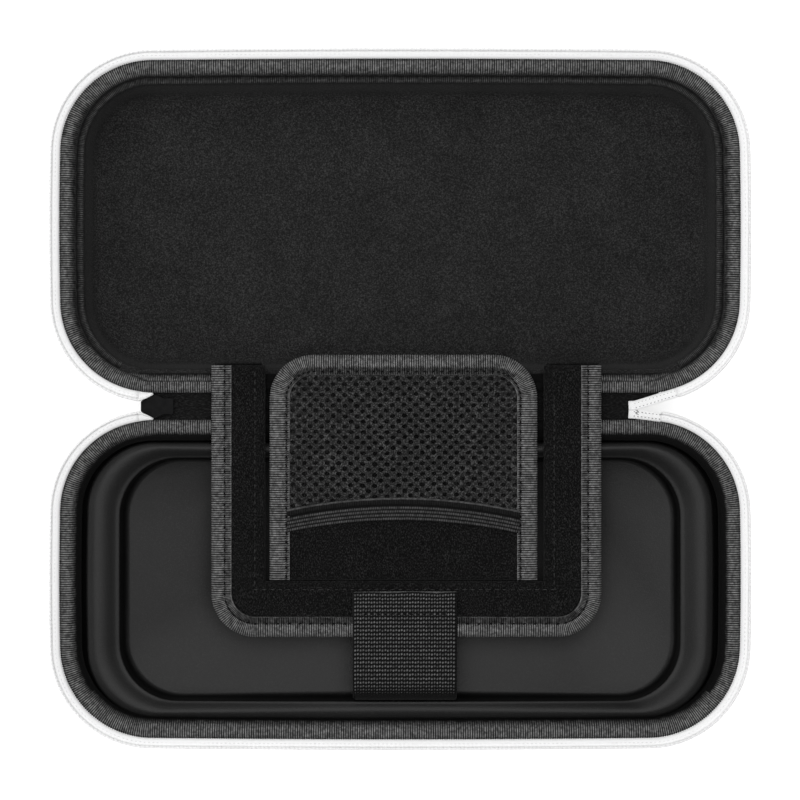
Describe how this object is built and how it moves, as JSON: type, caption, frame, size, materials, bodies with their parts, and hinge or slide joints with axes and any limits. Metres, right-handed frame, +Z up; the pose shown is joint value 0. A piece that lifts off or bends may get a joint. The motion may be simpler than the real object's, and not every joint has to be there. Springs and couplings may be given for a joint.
{
  "type": "portable game console case",
  "caption": "Zippered clamshell case for a handheld game console, open flat, with a foam tray, padded flap, mesh pocket and retaining strap",
  "frame": {"origin": "on the floor below the middle of the fold line between tray and lid, the middle of the open case", "axes": "+X along the fold to the right, +Y from the fold into the open lid, +Z up"},
  "size_m": [0.2652, 0.265, 0.0299],
  "materials": {
    "shell_skin": "matte grained coating",
    "moulded_foam": "satin",
    "grosgrain": "ribbed",
    "zipper_tape": "woven",
    "zipper_coil": "satin",
    "spine_fabric": "smooth",
    "slider_metal": "gloss",
    "webbing": "woven",
    "hook_pad": "hooked",
    "knit_lining": "jersey knit",
    "velour": "short pile",
    "pocket_mesh": "open mesh",
    "elastic": "ribbed"
  },
  "bodies": {
    "tray": {"tray_shell": "shell_skin", "tray_insert": "moulded_foam", "tray_binding": "grosgrain", "tray_zipper_tape": "zipper_tape", "tray_zipper_coil": "zipper_coil", "hinge_spine": "spine_fabric", "zipper_slider": "slider_metal", "zipper_end_tab": "zipper_tape", "retaining_strap": "webbing", "strap_hook_patch": "hook_pad"},
    "lid": {"lid_shell": "shell_skin", "lid_lining": "knit_lining", "lid_binding": "grosgrain", "lid_zipper_tape": "zipper_tape", "lid_zipper_coil": "zipper_coil", "flap_tab_left": "velour", "flap_tab_right": "velour"},
    "flap": {"flap_panel": "velour", "flap_binding": "grosgrain", "stand_panel": "velour", "stand_binding": "grosgrain", "stand_fold_strip": "velour", "pocket_mesh": "pocket_mesh", "pocket_band": "elastic"},
    "pull": {"zipper_pull": "slider_metal"}
  },
  "joints": [
    {"name": "lid_hinge", "type": "hinge", "parent": "tray", "child": "lid", "pos_m": [0, 0, 0.02675], "axis": [1, 0, 0], "range_deg": [0, 180], "deforming": ["retaining_strap", "strap_hook_patch"]},
    {"name": "flap_fold", "type": "hinge", "parent": "lid", "child": "flap", "pos_m": [0, 0.0134, 0.02675], "axis": [1, 0, 0], "range_deg": [-180, 0]},
    {"name": "pull_swing", "type": "hinge", "parent": "tray", "child": "pull", "pos_m": [-0.09185, -0.0028, 0.0157], "axis": [0, 1, 0], "range_deg": [-75, 75]}
  ],
  "couplings": [
    {"joint": "flap_fold", "follows": "lid_hinge", "ratio": -1}
  ]
}
